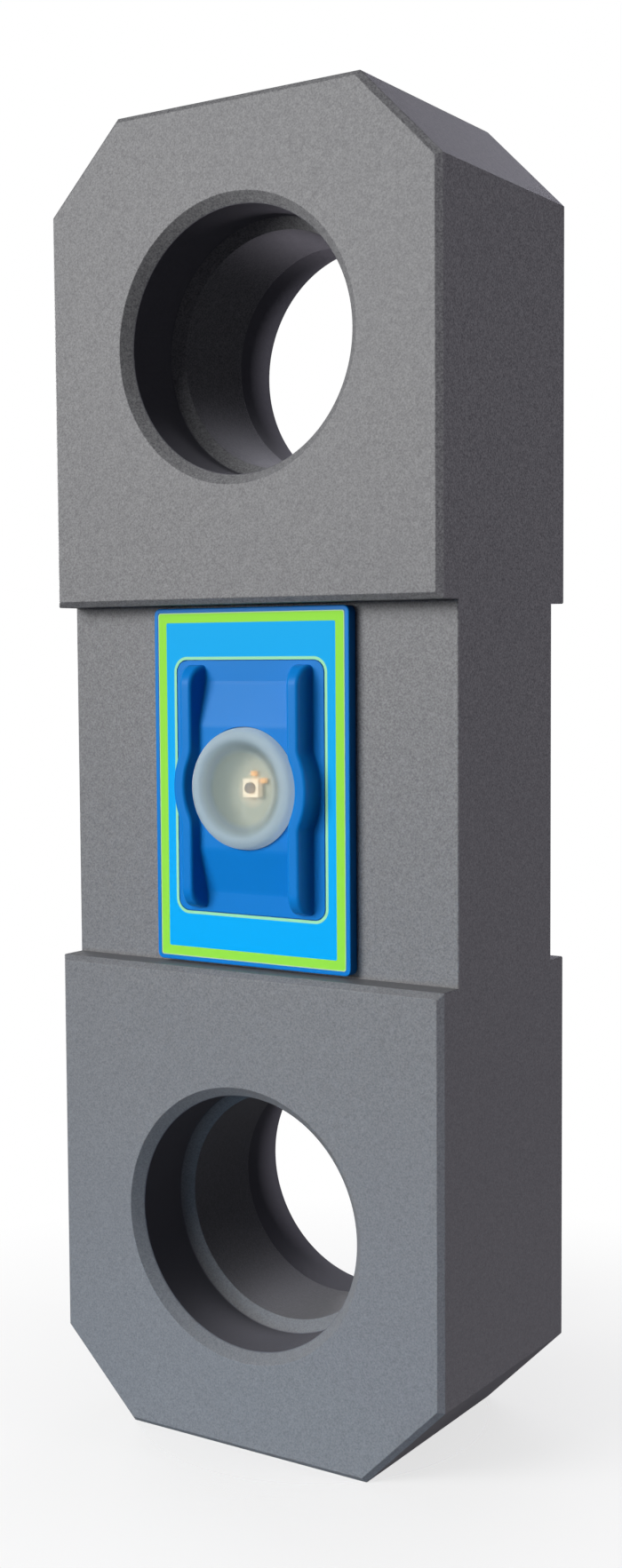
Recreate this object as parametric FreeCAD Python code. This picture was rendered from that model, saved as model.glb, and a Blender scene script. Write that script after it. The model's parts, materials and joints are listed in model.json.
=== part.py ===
# Hoist load link dynamometer, in millimetres.
# The bar stands on its lower end: +Z runs along the bar, -Y is the front, X is its width.
# Front and rear assemblies are drawn flat, with x across, y along the bar and z the height
# over the recess floor, and are then placed on the bar.
import FreeCAD, Part
import math
import os

V = FreeCAD.Vector

# Steel bar
WIDTH = 200.0
LENGTH = 584.0
END_THICK = 115.0
MID_THICK = 86.0
CORNER_CUT = 38.0
FACE_BEVEL = 2.5
RECESS_HALF = 79.5
MID_Z = LENGTH / 2
OVERCUT = 1.0
SAME_PLACE = 1e-6

# Stepped eyes, the same from the front and the rear
EYE_OFFSET = 191.0
EYE_MOUTH_R = 61.0
EYE_MOUTH_CHAMFER = 4.6
EYE_COUNTERBORE_DEPTH = 30.8
EYE_STEP = 5.0
EYE_COUNTERBORE_R = EYE_MOUTH_R - EYE_MOUTH_CHAMFER
EYE_LAND_R = EYE_COUNTERBORE_R - EYE_STEP

# Pocket for the electronics, pocket for the batteries, and the wire passage between them
POCKET_HALF = (39.0, 66.0)
POCKET_DEPTH = 20.0
POCKET_CORNER = 8.0
BATTERY_POCKET_HALF = (19.5, 32.0)
BATTERY_POCKET_DEPTH = 20.0
PASSAGE_R = 5.0
PASSAGE_Y = 24.0

# Countersunk screws of housing and cover
SCREW_R = 2.0
SCREW_HEAD_R = 3.75
SCREW_HEAD_SINK = 0.05
SCREW_GAP = 0.03
SCREW_HOLE_R = 2.25
SCREW_DEPTH = 9.0
TAPPED_DEPTH = 11.0
SOCKET_ACROSS = 2.5
SOCKET_DEPTH = 1.5

# Seals round the mouths of the pockets
GASKET_WIDTH = 3.0
GASKET_THICK = 1.0

# Front housing
HOUSING_HALF = (51.0, 78.2)
HOUSING_CORNER = 3.0
HOUSING_FACE = 5.0
HOUSING_EDGE = 0.6
HOUSING_SCREWS = [(0.0, -72.0), (0.0, 72.0)]
CAVITY_HALF = (35.0, 52.0)
CAVITY_ROOF = 2.8

# Printed film and its recess
FILM_HALF = (48.7, 76.2)
FILM_CORNER = 1.2
FILM_THICK = 0.25
FILM_RECESS = 0.3
FILM_GAP = 0.2
WINDOW_HALF = (38.8, 55.6)
WINDOW_CORNER = 5.5
WINDOW_GAP = 0.45

# Raised saddle round the button
SADDLE_HALF_WIDTH = 30.4
SADDLE_FOOT = 46.0
SADDLE_CREST = 27.2
SADDLE_TOP = 9.0

# Guard ribs, straight with a bulge concentric with the button
RIB_X = 27.9
RIB_BULGE_R = 31.7
RIB_BLEND_R = 12.0
RIB_FOOT_HALF = 5.3
RIB_TOP_HALF = 3.0
RIB_END = 53.4
RIB_TOP = 14.0
RIB_NOSE_R = RIB_TOP - HOUSING_FACE
RIB_EDGE = 0.8
RIB_ROOT = 4.0

# Push button and the switch under it
BUTTON_R = 26.3
BUTTON_GAP = 0.4
BUTTON_RIM = 13.6
BUTTON_RIM_EDGE = 1.8
BUTTON_RIM_INNER = 20.0
BUTTON_DISC_R = 16.8
BUTTON_DISC = 8.2
BUTTON_UNDER = 5.6
BUTTON_FLANGE_R = 28.4
BUTTON_FLANGE_TOP = 6.8
BUTTON_TRAVEL = 1.0
FLANGE_GAP = 0.4
FLANGE_SIDE_GAP = 0.8
PLUNGER_R = 2.3
PLUNGER_STANDOUT = 1.2
PLUNGER_LENGTH = 2.8
PLUNGER_GAP = 0.3
SWITCH_WIDTH = 8.0

# Circuit board and what is on it
BOARD_SIZE = (69.0, 122.0, 1.6)
BOARD_FACE = GASKET_THICK
BOARD_BACK = BOARD_FACE - BOARD_SIZE[2]
LED_SIZE = (2.0, 2.0, 2.2)
LEDS_AT = [(0.4, 6.3), (5.7, 3.3)]
RADIO_SIZE = (16.0, 12.0, 1.6)
RADIO_AT = (0.0, 43.0)
PROCESSOR_SIZE = (12.0, 12.0, 1.4)
PROCESSOR_AT = (-16.0, 14.0)
AMPLIFIER_SIZE = (8.0, 10.0, 1.8)
AMPLIFIER_AT = (15.0, -24.0)
CONNECTOR_SIZE = (10.0, 6.0, 5.5)
GAUGE_CONNECTOR_AT = (0.0, -41.0)

# Strain gauges on the floor of the front pocket, and their flexible print
GAUGE_SIZE = (10.0, 6.0)
GAUGE_THICK = 0.15
GAUGE_AT = [(11.0, 9.0), (-11.0, 9.0), (9.0, -9.0), (-9.0, -9.0)]
GAUGE_TURNED = (False, False, True, True)
FLEX_HALF = 6.0
FLEX_THICK = 0.25
FLEX_TOP_Y = 14.0
FLEX_BEND_R = 4.0

# Battery cover on the rear, its holder, cells and contacts
COVER_HALF = (31.0, 46.0)
COVER_CORNER = 6.0
COVER_FACE = 5.0
COVER_WALL = 2.6
COVER_EDGE = 1.4
COVER_SCREWS = [(0.0, -39.5), (0.0, 39.5)]
CELL_R = 7.1
CELL_LENGTH = 49.3
CELL_NUB_R = 2.75
CELL_NUB = 1.2
CELL_PITCH = 15.0
HOLDER_HALF = (16.5, 29.0)
HOLDER_DEPTH = 15.0
HOLDER_FLOOR = 1.6
TROUGH_GAP = 0.25
TROUGH_HALF_LENGTH = 27.0
CONTACT_HALF = 4.0
CONTACT_THICK = 0.5
LEAD_R = 0.9
LEAD_AT = 2.4


def on_front():
    """Placement of a flat-drawn piece on the front recess floor."""
    return FreeCAD.Placement(V(0, -MID_THICK / 2, MID_Z), FreeCAD.Rotation(V(1, 0, 0), 90))


def on_rear():
    """Placement of a flat-drawn piece on the rear recess floor."""
    turned = FreeCAD.Rotation(V(0, 0, 1), 180).multiply(FreeCAD.Rotation(V(1, 0, 0), 90))
    return FreeCAD.Placement(V(0, MID_THICK / 2, MID_Z), turned)


def rounded_rectangle(half, corner, z):
    """Closed outline of four sides and four corner arcs at height z."""
    edges = []
    pull = corner * (1 - math.sqrt(0.5))
    spots = [(1, 1), (-1, 1), (-1, -1), (1, -1)]
    arcs = []
    for i, (sx, sy) in enumerate(spots):
        on_side = V(sx * half[0], sy * (half[1] - corner), z)
        middle = V(sx * (half[0] - pull), sy * (half[1] - pull), z)
        on_end = V(sx * (half[0] - corner), sy * half[1], z)
        arcs.append((on_side, middle, on_end) if i % 2 == 0 else (on_end, middle, on_side))
    for arc, following in zip(arcs, arcs[1:] + arcs[:1]):
        edges.append(Part.Arc(*arc).toShape())
        edges.append(Part.makeLine(arc[2], following[0]))
    return Part.Wire(edges)


def block(half, low, high):
    """Upright block with square corners between two heights."""
    return Part.makeBox(2 * half[0], 2 * half[1], high - low, V(-half[0], -half[1], low))


def rounded_block(half, corner, low, high):
    """Upright block with a rounded rectangular outline between two heights."""
    return Part.Face(rounded_rectangle(half, corner, low)).extrude(V(0, 0, high - low))


def cylinder(radius, low, high, x=0.0, y=0.0):
    """Upright cylinder between two heights."""
    return Part.makeCylinder(radius, high - low, V(x, y, low))


def profile(points):
    """Face bounded by straight lines between the points."""
    return Part.Face(Part.makePolygon(points + points[:1]))


def edges_at(shape, height):
    """Edges that lie wholly at one height."""
    return [e for e in shape.Edges if all(abs(v.Z - height) < SAME_PLACE for v in e.Vertexes)
            and abs(e.CenterOfMass.z - height) < SAME_PLACE]


def inset(half, amount):
    """Half sizes of an outline moved inwards."""
    return (half[0] - amount, half[1] - amount)


# Steel bar

def eye_cutter(z):
    """Turned form of one eye: mouth chamfer, counterbore, step and central land, both ways."""
    face = END_THICK / 2
    half = [
        (EYE_MOUTH_R + OVERCUT, face + OVERCUT),
        (EYE_COUNTERBORE_R, face - EYE_MOUTH_CHAMFER),
        (EYE_COUNTERBORE_R, face - EYE_COUNTERBORE_DEPTH),
        (EYE_LAND_R, face - EYE_COUNTERBORE_DEPTH - EYE_STEP),
    ]
    front = [V(r, -y, z) for r, y in half]
    rear = [V(r, y, z) for r, y in reversed(half)]
    ends = [V(0, face + OVERCUT, z), V(0, -face - OVERCUT, z)]
    return profile(front + rear + ends).revolve(V(0, 0, z), V(0, 1, 0), 360)


def corner_cutters():
    """Four prisms that take the corners off the ends."""
    leg = CORNER_CUT + 2 * OVERCUT
    prisms = []
    for side in (-1, 1):
        for end, way in ((0, 1), (LENGTH, -1)):
            corner = V(side * (WIDTH / 2 + OVERCUT), -END_THICK, end - way * OVERCUT)
            along = corner + V(-side * leg, 0, 0)
            up = corner + V(0, 0, way * leg)
            prisms.append(profile([corner, along, up]).extrude(V(0, 2 * END_THICK, 0)))
    return prisms


def pocket_cutters():
    """Front pocket, battery pocket, wire passage and tapped holes."""
    front = [rounded_block(POCKET_HALF, POCKET_CORNER, -POCKET_DEPTH, OVERCUT)]
    front += [cylinder(SCREW_R, -TAPPED_DEPTH, OVERCUT, x, y) for x, y in HOUSING_SCREWS]
    rear = [rounded_block(BATTERY_POCKET_HALF, POCKET_CORNER, -BATTERY_POCKET_DEPTH, OVERCUT)]
    rear += [cylinder(SCREW_R, -TAPPED_DEPTH, OVERCUT, x, y) for x, y in COVER_SCREWS]
    rear += [cylinder(PASSAGE_R, POCKET_DEPTH - MID_THICK - OVERCUT, 0, 0, PASSAGE_Y)]
    return [placed(s, on_front()) for s in front] + [placed(s, on_rear()) for s in rear]


def link_body():
    """Bar with thick ends, thinner middle, cut corners, bevelled faces, eyes and pockets."""
    thick, thin = END_THICK / 2, MID_THICK / 2
    low, high = MID_Z - RECESS_HALF, MID_Z + RECESS_HALF
    rear = [(thick, 0), (thick, low), (thin, low), (thin, high), (thick, high), (thick, LENGTH)]
    front = [(-y, z) for y, z in reversed(rear)]
    side_view = profile([V(-WIDTH / 2, y, z) for y, z in rear + front])
    bar = side_view.extrude(V(WIDTH, 0, 0)).cut(corner_cutters())
    faces = [f for f in bar.Faces if abs(abs(f.CenterOfMass.y) - thick) < SAME_PLACE]
    bar = bar.makeChamfer(FACE_BEVEL, [e for f in faces for e in f.Edges])
    eyes = [eye_cutter(MID_Z + way * EYE_OFFSET) for way in (-1, 1)]
    return bar.cut(eyes + pocket_cutters())


# Screws and seals

def countersunk_screw(face, depth, x, y):
    """Countersunk socket screw whose head is flush with a face."""
    top = face - SCREW_HEAD_SINK
    shank_r = SCREW_R - SCREW_GAP
    cone = SCREW_HEAD_R - shank_r
    half = [V(0, 0, -depth), V(shank_r, 0, -depth), V(shank_r, 0, top - cone),
            V(SCREW_HEAD_R, 0, top), V(0, 0, top)]
    turned = profile(half).revolve(V(0, 0, 0), V(0, 0, 1), 360)
    corner_r = SOCKET_ACROSS / math.sqrt(3)
    turns = [math.radians(60 * i) for i in range(6)]
    hexagon = [V(corner_r * math.cos(a), corner_r * math.sin(a), top - SOCKET_DEPTH) for a in turns]
    socket = profile(hexagon).extrude(V(0, 0, SOCKET_DEPTH + OVERCUT))
    screw = turned.cut(socket)
    screw.translate(V(x, y, 0))
    return screw


def screw_hole(face, x, y):
    """Clearance hole with a countersink that the screw's head seats in."""
    cone = SCREW_HEAD_R - SCREW_R + SCREW_GAP
    top = face - SCREW_HEAD_SINK
    sink = Part.makeCone(SCREW_R - SCREW_GAP, SCREW_HEAD_R + OVERCUT, cone + OVERCUT, V(x, y, top - cone))
    return sink.fuse(cylinder(SCREW_HOLE_R, -OVERCUT, top, x, y))


def seal_room(pocket):
    """Space for a seal ring round a pocket's mouth, open over the pocket."""
    return block(inset(pocket, -GASKET_WIDTH), 0, GASKET_THICK)


def gasket(pocket):
    """Flat seal ring, cut from sheet, round a pocket's mouth."""
    return seal_room(pocket).cut(block(pocket, 0, GASKET_THICK))


# Front housing

def rib_path():
    """Centre line of a guard rib: straight runs, two blends and a bulge round the button."""
    blend_y = math.sqrt((RIB_BULGE_R + RIB_BLEND_R) ** 2 - (RIB_X + RIB_BLEND_R) ** 2)
    blends = []
    for way in (-1, 1):
        centre = V(RIB_X + RIB_BLEND_R, way * blend_y, 0)
        on_run = V(RIB_X, way * blend_y, 0)
        on_bulge = V(centre).normalize() * RIB_BULGE_R
        middle = centre + ((on_run - centre) + (on_bulge - centre)).normalize() * RIB_BLEND_R
        blends.append((on_run, middle, on_bulge))
    low, high = blends
    return Part.Wire([
        Part.makeLine(V(RIB_X, -RIB_END, 0), low[0]),
        Part.Arc(*low).toShape(),
        Part.Arc(low[2], V(RIB_BULGE_R, 0, 0), high[2]).toShape(),
        Part.Arc(*reversed(high)).toShape(),
        Part.makeLine(high[0], V(RIB_X, RIB_END, 0)),
    ])


def nose_cutter(way):
    """What a rib's rounded nose leaves free at one end."""
    reach = RIB_NOSE_R * math.sqrt(0.5)
    start = V(0, way * (RIB_END - RIB_NOSE_R), RIB_TOP)
    middle = V(0, way * (RIB_END - RIB_NOSE_R + reach), RIB_TOP - RIB_NOSE_R + reach)
    foot = V(0, way * RIB_END, HOUSING_FACE)
    corner = V(0, way * (RIB_END + OVERCUT), RIB_TOP + OVERCUT)
    below, above = V(0, corner.y, foot.z), V(0, start.y, corner.z)
    lines = Part.makePolygon([foot, below, corner, above, start])
    side_view = Part.Wire([Part.Arc(start, middle, foot).toShape()] + lines.Edges)
    return Part.Face(side_view).extrude(V(2 * RIB_X, 0, 0))


def guard_rib():
    """Drafted section with broken top edges, swept along the centre line, with rounded noses."""
    shoulder = RIB_TOP - RIB_EDGE
    half = [(RIB_FOOT_HALF, RIB_ROOT), (RIB_TOP_HALF, shoulder), (RIB_TOP_HALF - RIB_EDGE, RIB_TOP)]
    outline = half + [(-x, z) for x, z in reversed(half)]
    corners = [V(RIB_X + x, -RIB_END, z) for x, z in outline]
    section = Part.makePolygon(corners + corners[:1])
    rib = rib_path().makePipeShell([section], True, False)
    return rib.cut([nose_cutter(way) for way in (-1, 1)])


def saddle():
    """Raised pad between the ribs, with a ramp at each end."""
    outline = [(-SADDLE_FOOT, HOUSING_FACE), (-SADDLE_CREST, SADDLE_TOP), (SADDLE_CREST, SADDLE_TOP),
               (SADDLE_FOOT, HOUSING_FACE), (SADDLE_FOOT, RIB_ROOT), (-SADDLE_FOOT, RIB_ROOT)]
    side_view = profile([V(-SADDLE_HALF_WIDTH, y, z) for y, z in outline])
    return side_view.extrude(V(2 * SADDLE_HALF_WIDTH, 0, 0))


def housing_plate():
    """Plate with a broken front edge, and the recess that the film lies in."""
    plate = rounded_block(HOUSING_HALF, HOUSING_CORNER, 0, HOUSING_FACE)
    plate = plate.makeChamfer(HOUSING_EDGE, edges_at(plate, HOUSING_FACE))
    floor = HOUSING_FACE - FILM_RECESS
    recess = rounded_block(inset(FILM_HALF, -FILM_GAP), FILM_CORNER, floor, HOUSING_FACE + OVERCUT)
    island = rounded_block(inset(WINDOW_HALF, WINDOW_GAP), WINDOW_CORNER, floor, HOUSING_FACE + OVERCUT)
    return plate.cut(recess.cut(island))


def sensor_housing():
    """Moulded housing with saddle, guard ribs, button well, screw holes and board seat."""
    rib = guard_rib()
    shell = housing_plate().fuse([saddle(), rib, rib.mirror(V(0, 0, 0), V(1, 0, 0))])
    chamber_r = BUTTON_FLANGE_R + FLANGE_SIDE_GAP
    cuts = [
        seal_room(POCKET_HALF),
        block(CAVITY_HALF, BOARD_FACE, CAVITY_ROOF),
        cylinder(chamber_r, BOARD_FACE, BUTTON_FLANGE_TOP + FLANGE_GAP),
        cylinder(BUTTON_R + BUTTON_GAP, BOARD_FACE, SADDLE_TOP + OVERCUT),
    ]
    cuts += [screw_hole(HOUSING_FACE - FILM_RECESS, x, y) for x, y in HOUSING_SCREWS]
    return shell.cut(cuts).removeSplitter()


def face_overlay():
    """Printed film with a window for the saddle and ribs."""
    low = HOUSING_FACE - FILM_RECESS
    film = rounded_block(FILM_HALF, FILM_CORNER, low, low + FILM_THICK)
    return film.cut(rounded_block(WINDOW_HALF, WINDOW_CORNER, low - OVERCUT, HOUSING_FACE))


# Push button and switch

def button_cap():
    """Turned silicone cap: broad rim with a broken edge, conical dish, disc and retaining flange."""
    outline = [
        (0, BUTTON_DISC),
        (BUTTON_DISC_R, BUTTON_DISC),
        (BUTTON_RIM_INNER, BUTTON_RIM),
        (BUTTON_R - BUTTON_RIM_EDGE, BUTTON_RIM),
        (BUTTON_R, BUTTON_RIM - BUTTON_RIM_EDGE),
        (BUTTON_R, BUTTON_FLANGE_TOP),
        (BUTTON_FLANGE_R, BUTTON_FLANGE_TOP),
        (BUTTON_FLANGE_R, BUTTON_UNDER),
        (0, BUTTON_UNDER),
    ]
    return profile([V(r, 0, z) for r, z in outline]).revolve(V(0, 0, 0), V(0, 0, 1), 360)


def switch_top():
    """Height of the switch body's top face."""
    return BUTTON_UNDER - PLUNGER_STANDOUT


def switch_plunger():
    """Round plunger that carries the cap."""
    return cylinder(PLUNGER_R, BUTTON_UNDER - PLUNGER_LENGTH, BUTTON_UNDER)


def switch_body():
    """Square switch on the board, bored for the plunger and its travel."""
    body = chip_on_face((SWITCH_WIDTH, SWITCH_WIDTH, switch_top() - BOARD_FACE), (0.0, 0.0))
    bottom = BUTTON_UNDER - PLUNGER_LENGTH - BUTTON_TRAVEL - PLUNGER_GAP
    return body.cut(cylinder(PLUNGER_R + PLUNGER_GAP, bottom, switch_top() + OVERCUT))


# Circuit board

def chip(size, at, low):
    """Moulded package."""
    return Part.makeBox(*size, V(at[0] - size[0] / 2, at[1] - size[1] / 2, low))


def chip_on_face(size, at):
    """Package on the board's front."""
    return chip(size, at, BOARD_FACE)


def chip_on_back(size, at):
    """Package on the board's back."""
    return chip(size, at, BOARD_BACK - size[2])


# Strain gauges

def strain_gauges():
    """Two gauges along the bar and two across it, bonded to the pocket floor."""
    gauges = []
    for (x, y), turned in zip(GAUGE_AT, GAUGE_TURNED):
        size = GAUGE_SIZE[::-1] if turned else GAUGE_SIZE
        corner = V(x - size[0] / 2, y - size[1] / 2, -POCKET_DEPTH)
        gauges.append(Part.makeBox(size[0], size[1], GAUGE_THICK, corner))
    return Part.makeCompound(gauges)


def gauge_flex():
    """Flexible print from the gauges along the floor, bent up to its connector."""
    floor = -POCKET_DEPTH
    connector_low = BOARD_BACK - CONNECTOR_SIZE[2]
    turn_y = GAUGE_CONNECTOR_AT[1]
    bend = FLEX_BEND_R * (1 - math.sqrt(0.5))
    start = V(0, FLEX_TOP_Y, floor)
    bend_in = V(0, turn_y + FLEX_BEND_R, floor)
    bend_mid = V(0, turn_y + bend, floor + bend)
    bend_out = V(0, turn_y, floor + FLEX_BEND_R)
    end = V(0, turn_y, connector_low)
    inner_r = FLEX_BEND_R - FLEX_THICK
    inner_bend = inner_r * (1 - math.sqrt(0.5))
    up, across = V(0, 0, FLEX_THICK), V(0, FLEX_THICK, 0)
    inner_mid = V(0, turn_y + FLEX_THICK + inner_bend, floor + FLEX_THICK + inner_bend)
    edges = [
        Part.makeLine(start, bend_in),
        Part.Arc(bend_in, bend_mid, bend_out).toShape(),
        Part.makeLine(bend_out, end),
        Part.makeLine(end, end + across),
        Part.makeLine(end + across, bend_out + across),
        Part.Arc(bend_out + across, inner_mid, bend_in + up).toShape(),
        Part.makeLine(bend_in + up, start + up),
        Part.makeLine(start + up, start),
    ]
    strip = Part.Face(Part.Wire(edges)).extrude(V(2 * FLEX_HALF, 0, 0))
    strip.translate(V(-FLEX_HALF, 0, 0))
    return strip


# Battery side

def battery_cover():
    """Cover with a bevelled outer edge, hollow inside, with a seal groove and countersunk screw holes."""
    plate = rounded_block(COVER_HALF, COVER_CORNER, 0, COVER_FACE)
    plate = plate.makeChamfer(COVER_EDGE, edges_at(plate, COVER_FACE))
    hollow = block(inset(BATTERY_POCKET_HALF, GASKET_WIDTH), 0, COVER_FACE - COVER_WALL)
    screws = [screw_hole(COVER_FACE, x, y) for x, y in COVER_SCREWS]
    return plate.cut([hollow, seal_room(BATTERY_POCKET_HALF)] + screws)


def cell_axis_height():
    """Height of the cell axes over the rear recess floor, below it in the pocket."""
    return -BATTERY_POCKET_DEPTH + HOLDER_FLOOR + CELL_R + TROUGH_GAP


def cell_places():
    """Across positions of the two cells."""
    return [-CELL_PITCH / 2, CELL_PITCH / 2]


def along_cell(shape, x, low_y):
    """Turned piece drawn upright, laid along the cell at x from low_y upwards."""
    laid = placed(shape, FreeCAD.Placement(V(0, 0, 0), FreeCAD.Rotation(V(1, 0, 0), -90)))
    laid.translate(V(x, low_y, cell_axis_height()))
    return laid


def battery_cell(x, flipped):
    """Round cell with a contact nub."""
    nub = cylinder(CELL_NUB_R, CELL_LENGTH, CELL_LENGTH + CELL_NUB)
    cell = cylinder(CELL_R, 0, CELL_LENGTH).fuse(nub).removeSplitter()
    whole = CELL_LENGTH + CELL_NUB
    if flipped:
        cell.rotate(V(0, 0, whole / 2), V(1, 0, 0), 180)
    return along_cell(cell, x, -whole / 2)


def battery_holder():
    """Tray with two troughs, seated on the floor of the battery pocket."""
    low = -BATTERY_POCKET_DEPTH
    width, length = 2 * HOLDER_HALF[0], 2 * HOLDER_HALF[1]
    tray = Part.makeBox(width, length, HOLDER_DEPTH, V(-HOLDER_HALF[0], -HOLDER_HALF[1], low))
    trough_r = CELL_R + TROUGH_GAP
    troughs = []
    for x in cell_places():
        upright = cylinder(trough_r, 0, 2 * TROUGH_HALF_LENGTH)
        mouth = Part.makeBox(2 * trough_r, 2 * TROUGH_HALF_LENGTH, HOLDER_DEPTH,
                             V(x - trough_r, -TROUGH_HALF_LENGTH, cell_axis_height()))
        troughs.append(along_cell(upright, x, -TROUGH_HALF_LENGTH).fuse(mouth))
    return tray.cut(troughs).removeSplitter()


def battery_contacts():
    """Folded leaves between the ends of the cells and the holder's end walls."""
    room = TROUGH_HALF_LENGTH - (CELL_LENGTH + CELL_NUB) / 2
    low = cell_axis_height() - CONTACT_HALF
    contacts = []
    for x in cell_places():
        for way in (-1, 1):
            wall = way * TROUGH_HALF_LENGTH
            fold = [(-CONTACT_HALF, 0), (0, room), (CONTACT_HALF, 0), (CONTACT_HALF - CONTACT_THICK, 0),
                    (0, room - CONTACT_THICK), (CONTACT_THICK - CONTACT_HALF, 0)]
            leaf = profile([V(x + across, wall - way * out, low) for across, out in fold])
            contacts.append(leaf.extrude(V(0, 0, 2 * CONTACT_HALF)))
    return Part.makeCompound(contacts)


def battery_lead(side):
    """Lead from the holder's floor straight through the passage to the board's connector."""
    connector = BOARD_BACK - CONNECTOR_SIZE[2]
    return cylinder(LEAD_R, -MID_THICK - connector, -BATTERY_POCKET_DEPTH, side * LEAD_AT, PASSAGE_Y)


def placed(shape, placement):
    """Copy of a shape moved to its place."""
    return shape.transformed(placement.toMatrix(), True)


def front_pieces():
    """Pieces of the front assembly, drawn flat."""
    screws = [countersunk_screw(HOUSING_FACE - FILM_RECESS, SCREW_DEPTH, x, y) for x, y in HOUSING_SCREWS]
    return {
        "sensor_housing": sensor_housing(),
        "housing_gasket": gasket(POCKET_HALF),
        "housing_screws": Part.makeCompound(screws),
        "face_overlay": face_overlay(),
        "button_cap": button_cap(),
        "switch_plunger": switch_plunger(),
        "switch_body": switch_body(),
        "circuit_board": chip(BOARD_SIZE, (0.0, 0.0), BOARD_BACK),
        "status_leds": Part.makeCompound([chip_on_face(LED_SIZE, at) for at in LEDS_AT]),
        "radio_module": chip_on_face(RADIO_SIZE, RADIO_AT),
        "processor_chip": chip_on_back(PROCESSOR_SIZE, PROCESSOR_AT),
        "amplifier_chip": chip_on_back(AMPLIFIER_SIZE, AMPLIFIER_AT),
        "power_connector": chip_on_back(CONNECTOR_SIZE, (0.0, PASSAGE_Y)),
        "gauge_connector": chip_on_back(CONNECTOR_SIZE, GAUGE_CONNECTOR_AT),
        "strain_gauges": strain_gauges(),
        "gauge_flex": gauge_flex(),
    }


def rear_pieces():
    """Pieces of the battery side, drawn flat."""
    screws = [countersunk_screw(COVER_FACE, SCREW_DEPTH, x, y) for x, y in COVER_SCREWS]
    pieces = {
        "battery_cover": battery_cover(),
        "cover_gasket": gasket(BATTERY_POCKET_HALF),
        "cover_screws": Part.makeCompound(screws),
        "battery_holder": battery_holder(),
        "battery_contacts": battery_contacts(),
        "lead_positive": battery_lead(1),
        "lead_negative": battery_lead(-1),
    }
    for number, x in enumerate(cell_places(), 1):
        pieces[f"battery_cell_{number}"] = battery_cell(x, number == 2)
    return pieces


def main():
    """Builds every piece and writes one file for each."""
    os.makedirs("parts", exist_ok=True)
    nodes = {"link_body": link_body()}
    nodes.update({name: placed(shape, on_front()) for name, shape in front_pieces().items()})
    nodes.update({name: placed(shape, on_rear()) for name, shape in rear_pieces().items()})
    for name, shape in nodes.items():
        shape.exportStep(f"parts/{name}.step")


main()
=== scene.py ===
# Looks of the load link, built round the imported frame. Sizes are in metres.
# The link stands on its lower end: +Z runs along it, -Y is the front, X is its width.
import json
import math

import bmesh
import bpy
from mathutils import Matrix, Vector

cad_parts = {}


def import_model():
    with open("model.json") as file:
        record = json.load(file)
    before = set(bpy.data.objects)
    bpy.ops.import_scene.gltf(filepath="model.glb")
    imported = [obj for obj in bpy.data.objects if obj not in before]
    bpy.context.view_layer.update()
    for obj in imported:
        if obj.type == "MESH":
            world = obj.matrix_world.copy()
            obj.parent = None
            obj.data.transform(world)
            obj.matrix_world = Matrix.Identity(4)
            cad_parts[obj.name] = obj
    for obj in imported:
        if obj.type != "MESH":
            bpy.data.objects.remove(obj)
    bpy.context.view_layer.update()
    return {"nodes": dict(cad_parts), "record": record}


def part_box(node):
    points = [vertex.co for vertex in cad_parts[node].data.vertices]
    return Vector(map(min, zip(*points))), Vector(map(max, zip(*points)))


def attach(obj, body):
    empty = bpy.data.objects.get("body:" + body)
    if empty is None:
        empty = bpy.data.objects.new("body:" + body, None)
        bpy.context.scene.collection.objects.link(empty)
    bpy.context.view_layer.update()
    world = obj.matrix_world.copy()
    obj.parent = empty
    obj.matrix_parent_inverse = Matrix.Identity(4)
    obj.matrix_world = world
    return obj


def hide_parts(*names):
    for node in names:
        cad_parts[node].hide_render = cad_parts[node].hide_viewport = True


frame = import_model()

# Steel bar
BAR_LOW, BAR_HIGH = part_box("link_body")
WIDTH = BAR_HIGH.x - BAR_LOW.x
LENGTH = BAR_HIGH.z
END_HALF = BAR_HIGH.y
MID_HALF = 0.043
MID_Z = LENGTH / 2
CORNER_CUT = 0.038
FACE_BEVEL = 0.0025
RECESS_HALF = 0.0795
BAR_EDGE_R = 0.0007
UNION_OVERLAP = 0.004
POCKET_HALF = (0.039, 0.066)
BATTERY_POCKET_HALF = (0.0195, 0.032)
POCKET_DEPTH = 0.020
POCKET_CORNER = 0.008
PASSAGE_R = 0.005
PASSAGE_Y = 0.024
OVERCUT = 0.001

# Stepped eyes
EYES_Z = [m["pos_m"][2] for m in frame["record"]["mounts"] if m["kind"] == "bore"]
EYE_MOUTH_R = 0.061
EYE_CHAMFER = 0.0046
EYE_BORE_R = EYE_MOUTH_R - EYE_CHAMFER
EYE_BORE_DEPTH = 0.0308
EYE_STEP = 0.005
EYE_LAND_R = EYE_BORE_R - EYE_STEP
EYE_FLARE = (0.003, 0.00015)
EYE_SEGMENTS = 160

# Front housing
HOUSING_HALF = (0.051, 0.0782)
HOUSING_CORNER = 0.003
HOUSING_FACE = 0.005
HOUSING_EDGE_R = 0.0006
FILM_HALF = (0.0487, 0.0762)
FILM_RECESS = 0.0003
FILM_GAP = 0.0002
FILM_CORNER = 0.0012
WINDOW_HALF = (0.0388, 0.0556)
WINDOW_CORNER = 0.0055
WINDOW_GAP = 0.00045
WINDOW_GROOVE = 0.0008
SADDLE_HALF_WIDTH = 0.0304
SADDLE_FOOT = 0.046
SADDLE_CREST = 0.0272
SADDLE_TOP = 0.009
SADDLE_BLEND_R = 0.014
SADDLE_SINK = 0.00004
CAVITY_HALF = (0.035, 0.052)
CAVITY_ROOF = 0.0028
SEAL_THICK = 0.001
SEAL_WIDTH = 0.003

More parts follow.
